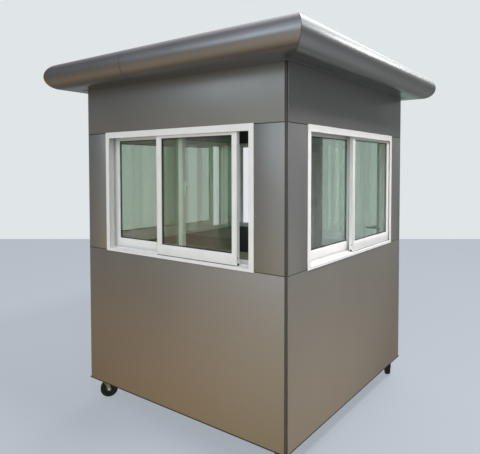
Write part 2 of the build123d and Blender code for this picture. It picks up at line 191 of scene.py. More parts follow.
def add_ring(bm, outer, inner, section, place=None):
    """Mitred upright frame. outer and inner are (left, right, low, high); the section is a closed
    row of (share of the way from the outer to the inner edge, depth)."""
    loops = []
    for x_index, z_index in ((0, 2), (1, 2), (1, 3), (0, 3)):
        loops.append([
            (
                outer[x_index] + share * (inner[x_index] - outer[x_index]),
                depth,
                outer[z_index] + share * (inner[z_index] - outer[z_index]),
            )
            for share, depth in section
        ])
    return add_sweep(bm, loops, closed=True, place=place)


def inset(lines, amount):
    """(left, right, low, high) drawn in by an amount."""
    return lines[0] + amount, lines[1] - amount, lines[2] + amount, lines[3] - amount


# %% [markdown]
# Every wall is drawn the same way: X to the right as seen from outside, Y inwards from its
# outer face, Z up. Four matrices turn that drawing onto the four sides of the cabin. The sizes
# of each piece are read from the frame, solid by solid, so that nothing is measured twice.

# %% Places of the four walls
# Of each wall's box: which end is its outer face, along which axis, and the drawing's turn
WALL_FACES = {"front": (0, 1, 0), "right": (1, 0, 90), "back": (1, 1, 180), "left": (0, 0, -90)}
SIDES = tuple(WALL_FACES)
wall_places = {}
for side, (end, axis, turn) in WALL_FACES.items():
    offset = Vector((0, 0, 0))
    offset[axis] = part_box(f"{side}_wall_lower")[end][axis]
    wall_places[side] = Matrix.Translation(offset) @ Matrix.Rotation(math.radians(turn), 4, "Z")
    print(side, "wall", round(offset.length, 3), "m out")

# %% [markdown]
# A node may hold several separate solids, such as the two sashes of a window. Walking along the
# edges from vertex to vertex parts them, and the box of each one gives its sizes and place.

# %% Solids of a node
SAME_POINT = 1e-5


def solid_boxes(node_name, place):
    """Boxes (low, high) of a node's separate solids, in a wall's own drawing, left to right."""
    node = frame["nodes"][node_name]
    bm = bmesh.new()
    bm.from_mesh(node.data)
    bmesh.ops.remove_doubles(bm, verts=bm.verts, dist=SAME_POINT)
    bmesh.ops.transform(bm, matrix=place.inverted() @ node.matrix_world, verts=bm.verts)
    left_over, boxes = set(bm.verts), []
    while left_over:
        group, front = set(), [left_over.pop()]
        while front:
            vert = front.pop()
            group.add(vert)
            near = {edge.other_vert(vert) for edge in vert.link_edges} & left_over
            left_over -= near
            front.extend(near)
        corners = [[pick(vert.co[i] for vert in group) for i in range(3)] for pick in (min, max)]
        boxes.append((Vector(corners[0]), Vector(corners[1])))
    bm.free()
    return sorted(boxes, key=lambda box: tuple(box[0]))


def lines_of(box):
    """(left, right, low, high) of a box."""
    low, high = box
    return low.x, high.x, low.z, high.z

# %% [markdown]
# Materials come next. Each one is a small node tree on the Principled shader: a base colour
# with slow and fine variation, a roughness that changes a little over the surface, and a fine
# bump. Patterns read Object coordinates, and every piece's object sits at the origin, so a
# pattern is true to scale in metres.

# %% Material helpers
def new_material(name, color, roughness, metallic=0.0):
    """Principled material with constants on its sockets."""
    material = bpy.data.materials.new(name)
    material.use_nodes = True
    shader = material.node_tree.nodes["Principled BSDF"]
    shader.inputs["Base Color"].default_value = (*color, 1.0)
    shader.inputs["Roughness"].default_value = roughness
    shader.inputs["Metallic"].default_value = metallic
    material.diffuse_color = (*color, 1.0)
    return material, material.node_tree, shader


def object_noise(tree, scale, detail=3.0, stretch=(1, 1, 1)):
    """Noise on Object coordinates; a stretch under 1 lengthens the pattern along that axis."""
    coordinates = tree.nodes.new("ShaderNodeTexCoord")
    mapping = tree.nodes.new("ShaderNodeMapping")
    mapping.inputs["Scale"].default_value = stretch
    noise = tree.nodes.new("ShaderNodeTexNoise")
    noise.inputs["Scale"].default_value = scale
    noise.inputs["Detail"].default_value = detail
    tree.links.new(coordinates.outputs["Object"], mapping.inputs["Vector"])
    tree.links.new(mapping.outputs["Vector"], noise.inputs["Vector"])
    return noise.outputs["Fac"]

# %% [markdown]
# Noise is one grey value. A colour ramp turns it into a tone and a Map Range into a roughness,
# each between two ends that suit the finish. A mix lays one tone over another, as a painted warm
# reflection over the wall paint.

# %% Tones and ranges
def shade(color, factor):
    """Colour made darker or lighter."""
    return tuple(min(1.0, channel * factor) for channel in color)


def ramp(tree, factor, stops):
    """Colour ramp with (position, colour) stops."""
    node = tree.nodes.new("ShaderNodeValToRGB")
    elements = node.color_ramp.elements
    while len(elements) < len(stops):
        elements.new(0.5)
    for element, (position, color) in zip(elements, stops):
        element.position = position
        element.color = (*color, 1.0)
    tree.links.new(factor, node.inputs["Fac"])
    return node.outputs["Color"]


def map_range(tree, value, low, high, to_low, to_high):
    """Straight mapping of a value to another range."""
    node = tree.nodes.new("ShaderNodeMapRange")
    ends = {"From Min": low, "From Max": high, "To Min": to_low, "To Max": to_high}
    for socket, number in ends.items():
        node.inputs[socket].default_value = number
    tree.links.new(value, node.inputs["Value"])
    return node.outputs["Result"]


def mix_colors(tree, factor, first, second):
    """Mix of two colours, each a socket or a plain colour."""
    node = tree.nodes.new("ShaderNodeMix")
    node.data_type = "RGBA"
    tree.links.new(factor, node.inputs["Factor"])
    for name, value in (("A", first), ("B", second)):
        socket = [i for i in node.inputs if i.name == name and i.type == "RGBA"][0]
        if isinstance(value, bpy.types.NodeSocket):
            tree.links.new(value, socket)
        else:
            socket.default_value = (*value, 1.0)
    return [o for o in node.outputs if o.type == "RGBA"][0]

# %% [markdown]
# A bump tilts the light over a fine grain that no mesh could carry. Its distance is a real
# height in metres, some hundredths of a millimetre here.

# %% Relief
def add_bump(tree, shader, height, distance):
    """Bump of a real height in metres."""
    node = tree.nodes.new("ShaderNodeBump")
    node.inputs["Distance"].default_value = distance
    tree.links.new(height, node.inputs["Height"])
    tree.links.new(node.outputs["Normal"], shader.inputs["Normal"])


# %% [markdown]
# The cladding is aluminium composite sheet with a baked satin metallic paint. It is half a
# mirror: it takes its tone from what stands round it. So the paint is half metallic with a
# broad gloss, and its flake gives a very fine sparkle. A painted reflection of a warm ground
# turns the lower sheets brown-grey towards the bottom. The eaves get no such tint, and their
# paint is more metallic and a little glossier.

# %% Cladding paint
def satin_paint(name, color, painted_reflection, reflection_low, reflection_high, roughness=0.38, metallic=0.5):
    """Satin metallic paint with fine flake, and a painted warm reflection that fades out with height."""
    material, tree, shader = new_material(name, color, roughness, metallic)
    clouds = object_noise(tree, 1.7, 2.0)
    paint = ramp(tree, clouds, [(0.35, shade(color, 0.96)), (0.65, shade(color, 1.04))])
    coordinates = tree.nodes.new("ShaderNodeTexCoord")
    split = tree.nodes.new("ShaderNodeSeparateXYZ")
    tree.links.new(coordinates.outputs["Object"], split.inputs["Vector"])
    # Painted reflection of a warm ground: full at the lower height, gone at the upper one.
    film = map_range(tree, split.outputs["Z"], reflection_low, reflection_high, 1.0, 0.0)
    tree.links.new(mix_colors(tree, film, paint, painted_reflection), shader.inputs["Base Color"])
    smears = object_noise(tree, 6.0, 4.0, (1, 1, 0.35))
    gloss = map_range(tree, smears, 0.3, 0.7, roughness - 0.025, roughness + 0.025)
    tree.links.new(gloss, shader.inputs["Roughness"])
    flake = object_noise(tree, 900.0, 1.0)
    add_bump(tree, shader, flake, 0.00002)
    return material


# The brown-grey tint is a painted reflection of a warm ground on the lower sheets.
WALL_GREY, PAINTED_GROUND_REFLECTION = (0.2025, 0.206, 0.2025), (0.262, 0.204, 0.140)
ROOF_GREY = (0.232, 0.236, 0.244)  # no painted ground reflection on the roof
wall_paint = satin_paint("cladding_paint", WALL_GREY, PAINTED_GROUND_REFLECTION, 0.17, 1.5)
roof_paint = satin_paint("eaves_paint", ROOF_GREY, ROOF_GREY, 0.0, 1.0, 0.30, 0.85)
print("paints", wall_paint.name, roof_paint.name)

# %% [markdown]
# The window and door sections are aluminium with a white powder coat: a soft gloss with a
# very fine orange peel, and a little grime in its tone.

# %% Powder coat
def powder_coat(name, color, roughness):
    """Powder coated metal with a fine orange peel."""
    material, tree, shader = new_material(name, color, roughness)
    grime = object_noise(tree, 9.0, 4.0)
    tone = ramp(tree, grime, [(0.35, shade(color, 0.95)), (0.6, color)])
    tree.links.new(tone, shader.inputs["Base Color"])
    gloss = map_range(tree, grime, 0.3, 0.7, roughness - 0.04, roughness + 0.04)
    tree.links.new(gloss, shader.inputs["Roughness"])
    orange_peel = object_noise(tree, 1400.0, 2.0)
    add_bump(tree, shader, orange_peel, 0.00003)
    return material


window_white = powder_coat("window_powder_coat", (0.745, 0.74, 0.73), 0.34)
door_white = powder_coat("door_powder_coat", (0.72, 0.72, 0.715), 0.36)
post_dark = powder_coat("corner_post_coat", (0.055, 0.050, 0.044), 0.5)
base_black = powder_coat("base_paint", (0.018, 0.018, 0.019), 0.55)
print("coats", [coat.name for coat in (window_white, door_white, post_dark, base_black)])


# %% [markdown]
# Clear float glass is a little green, most of all at its edges. The pane is a real sheet,
# 5 mm thick, so the shader transmits and bends the light as glass does. Part of it is plain
# see-through, which lets the light fall through the pane into the cabin. A faint uneven film
# breaks its gloss, as wiping leaves it. The tint is deeper than a real pane's, so that the panes
# still read as green glass before a plain pale backdrop.

# %% Glass
def float_glass(name, color):
    """Clear sheet glass with a faint film."""
    material, tree, shader = new_material(name, color, 0.0)
    shader.inputs["Transmission Weight"].default_value = 1.0
    shader.inputs["IOR"].default_value = 1.5
    shader.inputs["Specular IOR Level"].default_value = 0.5
    shader.inputs["Alpha"].default_value = 0.35
    film = object_noise(tree, 5.0, 3.0)
    tree.links.new(map_range(tree, film, 0.4, 0.8, 0.0, 0.004), shader.inputs["Roughness"])
    tone = ramp(tree, film, [(0.3, color), (0.7, shade(color, 0.98))])
    tree.links.new(tone, shader.inputs["Base Color"])
    return material


pane_glass = float_glass("float_glass", (0.13, 0.34, 0.16))
print("glass", pane_glass.name)


# %% [markdown]
# The rest are plain workshop finishes: black rubber for gaskets and tyres, satin steel for
# hinges and handles, zinc with its yellow passivation on the casters, a vinyl floor and grey
# lining boards.

# %% Other finishes
def speckled(name, color, roughness, metallic=0.0, scale=60.0, contrast=0.12, bump=0.00005):
    """Even finish with a fine grain in colour, gloss and height."""
    material, tree, shader = new_material(name, color, roughness, metallic)
    grain = object_noise(tree, scale, 4.0)
    tone = ramp(tree, grain, [(0.35, shade(color, 1 - contrast)), (0.65, shade(color, 1 + contrast))])
    tree.links.new(tone, shader.inputs["Base Color"])
    gloss = map_range(tree, grain, 0.3, 0.7, max(0.02, roughness - 0.05), roughness + 0.05)
    tree.links.new(gloss, shader.inputs["Roughness"])
    add_bump(tree, shader, grain, bump)
    return material


gasket_black = speckled("gasket_rubber", (0.015, 0.015, 0.015), 0.7)
tyre_black = speckled("tyre_rubber", (0.007, 0.007, 0.007), 0.8, scale=300.0)
wheel_core = speckled("wheel_core", (0.014, 0.014, 0.015), 0.6, scale=200.0)
satin_steel = speckled("satin_steel", (0.62, 0.62, 0.63), 0.3, 1.0, scale=500.0, contrast=0.04)
latch_chrome = speckled("latch_chrome", (0.95, 0.95, 0.95), 0.3, 0.3, scale=500.0, contrast=0.03)
zinc_yellow = speckled("yellow_zinc", (0.66, 0.49, 0.25), 0.36, 0.8, scale=35.0, contrast=0.25)
zinc_bright = speckled("bright_zinc", (0.85, 0.85, 0.86), 0.3, 0.6, scale=120.0, contrast=0.1)
lining_grey = speckled("lining_board", (0.11, 0.11, 0.111), 0.55, scale=90.0, contrast=0.05)
ceiling_grey = speckled("ceiling_board", (0.05, 0.05, 0.052), 0.6, scale=90.0, contrast=0.05)
floor_vinyl = speckled("floor_vinyl", (0.16, 0.155, 0.15), 0.5, scale=240.0, contrast=0.3)
sealant_dark = speckled("joint_sealant", (0.035, 0.034, 0.032), 0.6)
beam_primer = speckled("beam_primer", (0.2, 0.2, 0.21), 0.6)
print("materials so far", len(bpy.data.materials))

# %% [markdown]
# The counter is board with a brown laminate. Its grain is one stretched noise for the figure
# and a finer, more stretched one for the pores.

# %% Counter laminate
def wood_laminate(name, light, dark):
    """Brown laminate with a long wood grain along X."""
    material, tree, shader = new_material(name, light, 0.42)
    figure = object_noise(tree, 22.0, 6.0, (0.06, 1, 1))
    pores = object_noise(tree, 420.0, 2.0, (0.03, 1, 1))
    tone = ramp(tree, figure, [(0.3, dark), (0.7, light)])
    grain = mix_colors(tree, map_range(tree, pores, 0.45, 0.7, 0, 0.35), tone, dark)
    tree.links.new(grain, shader.inputs["Base Color"])
    tree.links.new(map_range(tree, pores, 0.3, 0.7, 0.38, 0.5), shader.inputs["Roughness"])
    add_bump(tree, shader, pores, 0.00004)
    return material


counter_laminate = wood_laminate("counter_laminate", (0.20, 0.17, 0.115), (0.13, 0.11, 0.075))
print("materials", len(bpy.data.materials))

# %% [markdown]
# Some of the frame's own solids already have their final shape, because the real ones are
# plain bars, boards and panes. They keep their mesh and only get a finish. A clear pane hardly
# shades what is behind it, so the panes cast no shadow, and the lamps light the cabin's inside.

# %% Finishes on the frame's own nodes
finish_by_slot = {
    "corner_post": post_dark, "base_steel": base_black, "roof_beam": beam_primer,
    "roof_deck": roof_paint, "ceiling": ceiling_grey, "floor": floor_vinyl,
    "glass": pane_glass, "hinge": satin_steel, "cladding": wall_paint, "eaves": roof_paint,
    "window_white": window_white, "latch": latch_chrome, "door_white": door_white,
    "door_panel": wall_paint, "handle": satin_steel, "counter": counter_laminate,
    "caster_steel": zinc_yellow, "tyre": tyre_black,
}
for part in frame["record"]["subparts"]:
    node = frame["nodes"][part["node"]]
    node.data.materials.clear()
    node.data.materials.append(finish_by_slot[part["material_slot"]])
    node.visible_shadow = part["material_slot"] != "glass"

# %% [markdown]
# The walls: each cladding sheet is a thin composite board, cut square with a small break along
# its edges. The sheets stop short of each other at the levels of the window's sill and head,
# and the open joints show the dark sealant behind them.

# %% Cladding sizes
SHEET_THICKNESS = 0.006
SHEET_BREAK = 0.0008
JOINT_WIDTH = 0.004
SEALANT_DEPTH = 0.0030
CORNER_INSET = 0.044  # the boards behind the cladding end this far inside its edge
LEVEL_TOLERANCE = 0.001
wall_nodes = {
    side: [name for name in sorted(frame["nodes"]) if name.startswith(f"{side}_wall_")]
    for side in SIDES
}
wall_low, wall_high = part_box("corner_posts")[0].z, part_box("corner_posts")[1].z
front_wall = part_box("front_wall_lower")
wall_depth = front_wall[1].y - front_wall[0].y
half_plan = -front_wall[0].y
board_end = front_wall[1].x - CORNER_INSET


def sheet_heights(low, high):
    """Heights of a cladding sheet: it stops half a joint short of the next one."""
    if low >= wall_low + LEVEL_TOLERANCE:
        low += JOINT_WIDTH / 2
    if high <= wall_high - LEVEL_TOLERANCE:
        high -= JOINT_WIDTH / 2
    return low, high

# %% [markdown]
# The frame's wall nodes are whole blocks. Each block gives way to a sheet in front, a lining
# board behind it that stops short of the corner post, and a strip of sealant in each joint.

# %% Cladding sheets
for side in SIDES:
    place = wall_places[side]
    sheets, boards, joints = bmesh.new(), bmesh.new(), bmesh.new()
    for node_name in wall_nodes[side]:
        for left, right, low, high in map(lines_of, solid_boxes(node_name, place)):
            sheet_low, sheet_high = sheet_heights(low, high)
            add_box(
                sheets, (left, 0, sheet_low), (right, SHEET_THICKNESS, sheet_high), SHEET_BREAK, place,
            )
            add_box(
                boards, (max(left, -board_end), SHEET_THICKNESS, low),
                (min(right, board_end), wall_depth, high), 0.0, place,
            )
            for level, edge in ((low, sheet_low), (high, sheet_high)):
                if level != edge:
                    add_box(
                        joints, (left, SEALANT_DEPTH, level - JOINT_WIDTH / 2),
                        (right, SHEET_THICKNESS, level + JOINT_WIDTH / 2), 0.0, place,
                    )
    finish_piece(sheets, f"{side}_cladding", wall_paint, "cabin", "cladding", *wall_nodes[side])
    finish_piece(boards, f"{side}_lining", lining_grey, "cabin", "cladding", *wall_nodes[side])
    finish_piece(joints, f"{side}_joint_sealant", sealant_dark, "cabin", "cladding")

# %% [markdown]
# Where wall and soffit meet runs a small angle trim that hides the cut edge of the cladding.

# %% Trim under the eaves
TRIM_WIDTH = 0.018
TRIM_THICKNESS = 0.003


def add_band(bm, near, far, low, high, place):
    """Strip along a whole wall between two depths and two heights, mitred at both ends."""
    plan = [(x * (half_plan - near), near) for x in (-1, 1)]
    plan += [(x * (half_plan - far), far) for x in (1, -1)]
    return add_sweep(bm, [[(x, y, z) for x, y in plan] for z in (low, high)], place=place)


trim = bmesh.new()
for place in wall_places.values():
    add_band(trim, -TRIM_WIDTH, 0.0, wall_high - TRIM_THICKNESS, wall_high, place)
finish_piece(trim, "soffit_trim", roof_paint, "cabin", "eaves")

# %% [markdown]
# The foot of the cladding sits on a thin black strip, a few millimetres high. It is a painted
# shadow line: it draws a thin dark line round the foot, where shade falls under the sheets.

# %% Painted shadow strip under the cladding
EDGING_HEIGHT = 0.008
EDGING_WIDTH = 0.010
edging = bmesh.new()
for place in wall_places.values():
    add_band(edging, 0.0, EDGING_WIDTH, wall_low - EDGING_HEIGHT, wall_low, place)
# The black strip stands for the shade under the cladding's foot.
finish_piece(edging, "foot_shadow_strip", gasket_black, "cabin", "base_steel")

# %% [markdown]
# The eaves are boxes of the same sheet, bent over a half-round nose and mitred at the corners.
# Each side is one closed section carried along its length. A narrow open seam parts two sheets
# part of the way along, another runs under the nose where the soffit begins, and each mitre is
# a seam too.

# %% Eaves section
NOSE_STEPS = 36
SEAM_WIDTH = 0.003
SEAM_DEPTH = 0.003
SEAM_SETBACK = 0.001  # from the nose's centre line to the seam under it
SEALANT_INSET = 0.002  # the sealant body inside the skin, and its own gap at a mitre
SEALANT_MITRE = 0.0002
eaves_low, eaves_high = (corner.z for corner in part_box("eaves_front"))
nose_radius = (eaves_high - eaves_low) / 2
overhang = front_wall[0].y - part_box("eaves_front")[0].y
sheet_seams = {"front": (-0.245,), "right": (0.58,), "back": (0.245,), "left": (-0.58,)}


def eaves_section(inset_by, soffit_seam):
    """Closed section of the eaves as (depth, height), drawn in by an amount."""
    radius = nose_radius - inset_by
    centre = -overhang + nose_radius
    middle = (eaves_low + eaves_high) / 2
    points = [(wall_depth, eaves_high - inset_by)]
    for step in range(NOSE_STEPS + 1):
        angle = math.pi * step / NOSE_STEPS
        points.append((centre - radius * math.sin(angle), middle + radius * math.cos(angle)))
    low = eaves_low + inset_by
    seam_top = low + (SEAM_DEPTH if soffit_seam else 0.0)
    near = centre + SEAM_SETBACK
    points += [(near, low), (near, seam_top), (near + SEAM_WIDTH, seam_top), (near + SEAM_WIDTH, low)]
    points.append((wall_depth, low))
    return points


def eaves_loops(outer, inner, seams, mitre_gap):
    """Section carried from mitre to mitre, with a groove at each seam."""
    loops = [[(-(half_plan - depth) + mitre_gap, depth, z) for depth, z in outer]]
    for seam in seams:
        for x, points in (
            (seam - SEAM_WIDTH / 2, outer), (seam - SEAM_WIDTH / 2, inner),
            (seam + SEAM_WIDTH / 2, inner), (seam + SEAM_WIDTH / 2, outer),
        ):
            loops.append([(x, depth, z) for depth, z in points])
    loops.append([(half_plan - depth - mitre_gap, depth, z) for depth, z in outer])
    return loops


print("nose radius", round(nose_radius, 4), "overhang", round(overhang, 4))

# %% [markdown]
# Each side gets its skin and, just inside it, a body of dark sealant. So a seam shows as a thin
# dark line, as deep as the sheet is thick.

# %% Eaves
outside, groove = eaves_section(0.0, True), eaves_section(SEAM_DEPTH, False)
sealant = eaves_section(SEALANT_INSET, False)
for side in SIDES:
    place = wall_places[side]
    skin, core = bmesh.new(), bmesh.new()
    add_sweep(skin, eaves_loops(outside, groove, sheet_seams[side], SEAM_WIDTH / 2), place=place)
    add_sweep(core, eaves_loops(sealant, sealant, (), SEALANT_MITRE), place=place)
    finish_piece(skin, f"{side}_eaves", roof_paint, "cabin", "eaves", f"eaves_{side}")
    finish_piece(core, f"{side}_eaves_sealant", sealant_dark, "cabin", "eaves")

# %% [markdown]
# Each window frame is a white extruded section. A thin flange laps the cladding; behind it the
# box that the sashes run in is a little wider, so a closed sash slides in behind the flange. A
# fin parts the two tracks, each sash rides on a rib, and the sill turns up at its inner edge.

# %% Extruded section
FLANGE_LAP = 0.005
FLANGE_THICKNESS = 0.004
JAMB_FACE = 0.037
SILL_FACE = 0.020
HEAD_FACE = 0.043
JAMB_POCKET = 0.022
HEAD_POCKET = 0.015
UPSTAND_THICKNESS = 0.004
UPSTAND_HEIGHT = 0.027
FIN_HEIGHT = 0.009
RIB_HEIGHT = 0.0015
TRACK_HALF = 0.0015  # half the thickness of a fin or a rib
TRACK_ROOT = 0.001  # how deep the ribs and the upstand stand in the sill


def bar_section(front, back, ease, width):
    """Flat bar section with eased corners, as (share of a width, depth)."""
    share = ease / width
    return [
        (share, front), (1 - share, front), (1, front + ease), (1, back - ease),
        (1 - share, back), (share, back), (0, back - ease), (0, front + ease),
    ]

# %% [markdown]
# Each frame is drawn from the lines of its node: the flange outside, the clear light inside it,
# and the wider run of the tracks behind. The sashes' own solids give the depths of both tracks,
# so fin and ribs come out where the sashes stand.

# %% Window frames
windows = {}
for side in SIDES:
    place = wall_places[side]
    frame_box, = solid_boxes(f"{side}_window_frame", place)
    flange, inner_face = lines_of(frame_box), frame_box[1].y
    body = inset(flange, FLANGE_LAP)
    clear = (
        flange[0] + JAMB_FACE, flange[1] - JAMB_FACE, flange[2] + SILL_FACE, flange[3] - HEAD_FACE,
    )
    run = (clear[0] - JAMB_POCKET, clear[1] + JAMB_POCKET, clear[2], clear[3] + HEAD_POCKET)
    sashes, panes = (solid_boxes(f"{side}_window_{name}", place) for name in ("sashes", "glass"))
    windows[side] = {"sashes": sashes, "panes": panes}
    fronts, backs = (sorted(sash[end].y for sash in sashes) for end in (0, 1))
    fin_middle = (fronts[1] + backs[0]) / 2

    bm = bmesh.new()
    add_ring(bm, flange, clear, bar_section(-FLANGE_THICKNESS, 0.0, 0.0012, JAMB_FACE), place)
    add_ring(bm, body, run, bar_section(0.0, inner_face, 0.0008, body[1] - run[1]), place)
    fin = bar_section(fin_middle - TRACK_HALF, fin_middle + TRACK_HALF, 0.0005, FIN_HEIGHT)
    add_ring(bm, run, inset(run, FIN_HEIGHT), fin, place)
    for near, far in zip(fronts, backs):
        middle = (near + far) / 2
        add_box(
            bm, (run[0], middle - TRACK_HALF, run[2] - TRACK_ROOT),
            (run[1], middle + TRACK_HALF, run[2] + RIB_HEIGHT), 0.0, place,
        )
    add_box(
        bm, (run[0], inner_face - UPSTAND_THICKNESS, run[2] - TRACK_ROOT),
        (run[1], inner_face, run[2] + UPSTAND_HEIGHT), 0.001, place,
    )
    finish_piece(
        bm, f"{side}_window_surround", window_white, "cabin", "window_white", f"{side}_window_frame",
    )

# %% [markdown]
# A sash is four mitred lengths round a pane. The section steps down towards the glass and ends
# in a bead. Rollers under the bottom rail carry it, so its skirt hangs just clear of the sill
# and a brush seal closes the slit; the screw hole that sets the roller's height shows on its
# end face.

# %% Window sashes
BEAD_WIDTH = 0.008
BEAD_STEP, BEAD_SLOPE = 0.0025, 0.0045  # how far the bead lies back, at its edge and at the pane
ROLLER_LIFT = 0.004
GASKET_WIDTH, GASKET_THICKNESS = 0.006, 0.002
BRUSH_NEAR, BRUSH_FAR = 0.001, 0.004  # brush seal, from each face of the sash
SEAL_END = 0.001
ROLLER_HOLE_HEIGHT, ROLLER_HOLE_DEPTH = 0.0485, 0.009
END_CLIP_THICKNESS, END_CLIP_INSET = 0.0008, 0.006
for side in SIDES:
    place = wall_places[side]
    frames, dark, steel = bmesh.new(), bmesh.new(), bmesh.new()
    for sash_box, pane_box in zip(windows[side]["sashes"], windows[side]["panes"]):
        front, back = sash_box[0].y, sash_box[1].y
        left, right, low, high = lines_of(sash_box)
        pane, pane_front, pane_back = lines_of(pane_box), pane_box[0].y, pane_box[1].y
        step = inset(pane, -BEAD_WIDTH)
        lifted = (left, right, low + ROLLER_LIFT, high)
        add_ring(frames, lifted, step, bar_section(front, back, 0.001, step[0] - left), place)
        bead = [
            (0, front + BEAD_STEP), (0.5, front + BEAD_STEP), (1, front + BEAD_SLOPE),
            (1, back - BEAD_SLOPE), (0.5, back - BEAD_STEP), (0, back - BEAD_STEP),
        ]
        add_ring(frames, step, pane, bead, place)
        for near, far in (
            (pane_front - GASKET_THICKNESS, pane_front), (pane_back, pane_back + GASKET_THICKNESS),
        ):
            gasket = bar_section(near, far, 0.0005, GASKET_WIDTH)
            add_ring(dark, pane, inset(pane, GASKET_WIDTH), gasket, place)
        for near, far in ((front + BRUSH_NEAR, front + BRUSH_FAR), (back - BRUSH_FAR, back - BRUSH_NEAR)):
            add_box(
                dark, (left + SEAL_END, near, low + 0.0003),
                (right - SEAL_END, far, lifted[2] + 0.001), 0.0, place,
            )
        for edge, outward in ((left, -1), (right, 1)):
            hole = (edge, front + ROLLER_HOLE_DEPTH, low + ROLLER_HOLE_HEIGHT)
            add_round(dark, hole, (1, 0, 0), 0.0036, 0.0008, 20, 0.0, place)
            add_round(steel, hole, (1, 0, 0), 0.0052, 0.0004, 20, 0.0, place)
            clip = edge + outward * END_CLIP_THICKNESS
            add_box(
                dark, (min(edge, clip), front + END_CLIP_INSET, low + 0.004),
                (max(edge, clip), back - END_CLIP_INSET, low + 0.016), 0.0003, place, 1,
            )
    finish_piece(
        frames, f"{side}_sash_frames", window_white, "cabin", "window_white", f"{side}_window_sashes",
    )
    finish_piece(dark, f"{side}_sash_gaskets", gasket_black, "cabin", "window_white")
    finish_piece(steel, f"{side}_sash_rollers", satin_steel, "cabin", "window_white")

# %% [markdown]
# The two sashes lock with a crescent catch on the inner sash's meeting stile. Its base sits on
# the inside of the stile; the half disc and its lever stand past the stile's edge, where they
# hook behind the other sash.

# %% Crescent latches
HOOK_DEPTH = 0.010
HOOK_ROOT, HOOK_RADIUS, HOOK_THICKNESS = 0.003, 0.0145, 0.004
HOOK_START, HOOK_STEP, HOOK_STEPS = -84, 14, 13  # degrees, degrees, count
TURN_DROP = 0.020  # the half disc's centre below the base plate's top
ARM_HALF, ARM_REACH = 0.007, 0.006
latches = bmesh.new()
for side in SIDES:
    place = wall_places[side]
    inner_sash = max(windows[side]["sashes"], key=lambda box: box[0].y)
    boxes = solid_boxes("window_latches", place)
    low, high = [box for box in boxes if abs(box[0].y - inner_sash[1].y) < 0.001][0]
    edge, face = inner_sash[1].x, low.y
    turn_z, hook = high.z - TURN_DROP, face - HOOK_DEPTH
    arm_low, arm_high = turn_z - ARM_HALF, turn_z + ARM_HALF
    arm_end = (edge + ARM_REACH, face + 0.011, arm_high)
    add_box(latches, (low.x, face, low.z), (edge - 0.0005, face + 0.004, high.z), 0.0012, place)
    boss = (edge - 0.010, face + 0.0075, turn_z)
    add_round(latches, boss, (0, 1, 0), 0.0085, 0.009, 32, 0.0012, place)
    add_box(latches, (edge - 0.010, face + 0.006, arm_low), arm_end, 0.001, place)
    add_box(latches, (edge + 0.0006, hook, arm_low), arm_end, 0.001, place)
    section = (
        (HOOK_ROOT, hook), (HOOK_RADIUS, hook),
        (HOOK_RADIUS, hook + HOOK_THICKNESS), (HOOK_ROOT, hook + HOOK_THICKNESS),
    )
    loops = []
    for step in range(HOOK_STEPS):
        angle = math.radians(HOOK_START + HOOK_STEP * step)
        loops.append([
            (edge + 0.0004 + radius * math.cos(angle), depth, turn_z + radius * math.sin(angle))
            for radius, depth in section
        ])
    add_sweep(latches, loops, place=place)
    lever_low = (edge + 0.0008, hook, low.z + 0.003)
    add_box(latches, lever_low, (edge + 0.0075, hook + 0.006, turn_z), 0.0018, place)
    for end in (low.z + 0.008, high.z - 0.005):
        screw = (low.x + 0.008, face + 0.0045, end)
        add_round(latches, screw, (0, 1, 0), 0.0032, 0.002, 16, 0.0005, place)
finish_piece(latches, "crescent_latches", latch_chrome, "cabin", "latch", "window_latches")

# %% [markdown]
# The door hangs in a white frame in the back wall. The frame's jambs carry a stop with a black
# seal, which the leaf closes against; a head joins them above and a low threshold below.

# %% Door frame
DOOR_STOP_WIDTH = 0.012
DOOR_STOP_FRONT = 0.005
DOOR_STOP_BACK = 0.015
SEAL_DEPTH = 0.003
place = wall_places["back"]
jambs = solid_boxes("door_jambs", place)
sill, head = sorted(solid_boxes("door_head_and_threshold", place), key=lambda box: box[0].z)
door_clear = (jambs[0][1].x - DOOR_STOP_WIDTH, jambs[1][0].x + DOOR_STOP_WIDTH)
head_low = head[0].z + DOOR_STOP_WIDTH

bm, seals = bmesh.new(), bmesh.new()
for jamb, end, inwards in ((jambs[0], 0, 1), (jambs[1], 1, -1)):
    face, outer = door_clear[end], jamb[end].x
    stop = face + inwards * DOOR_STOP_WIDTH
    stop_left, stop_right = sorted((face, stop))
    seal_left, seal_right = sorted((face, (face + stop) / 2))
    add_box(
        bm, (min(outer, face), 0, jamb[0].z), (max(outer, face), jamb[1].y, jamb[1].z), 0.0015, place,
    )
    add_box(
        bm, (stop_left, DOOR_STOP_FRONT, sill[1].z), (stop_right, DOOR_STOP_BACK, head_low), 0.001, place,
    )
    add_box(
        seals, (seal_left, DOOR_STOP_BACK, sill[1].z),
        (seal_right, DOOR_STOP_BACK + SEAL_DEPTH, head_low), 0.001, place,
    )
add_box(bm, (door_clear[0], 0, head_low), (door_clear[1], head[1].y, head[1].z), 0.0015, place)
add_box(
    bm, (door_clear[0] + DOOR_STOP_WIDTH, DOOR_STOP_FRONT, head[0].z),
    (door_clear[1] - DOOR_STOP_WIDTH, DOOR_STOP_BACK, head_low), 0.001, place,
)
add_box(bm, (door_clear[0], 0, sill[0].z), (door_clear[1], sill[1].y, sill[1].z), 0.002, place)
finish_piece(bm, "door_frame", door_white, "cabin", "door_white", "door_jambs", "door_head_and_threshold")
finish_piece(seals, "door_seals", gasket_black, "cabin", "door_white")

# %% [markdown]
# The leaf is two full-height stiles with three rails between them. The upper opening holds the
# pane and the lower one a sheet of cladding, both kept by beads pressed in from each face.

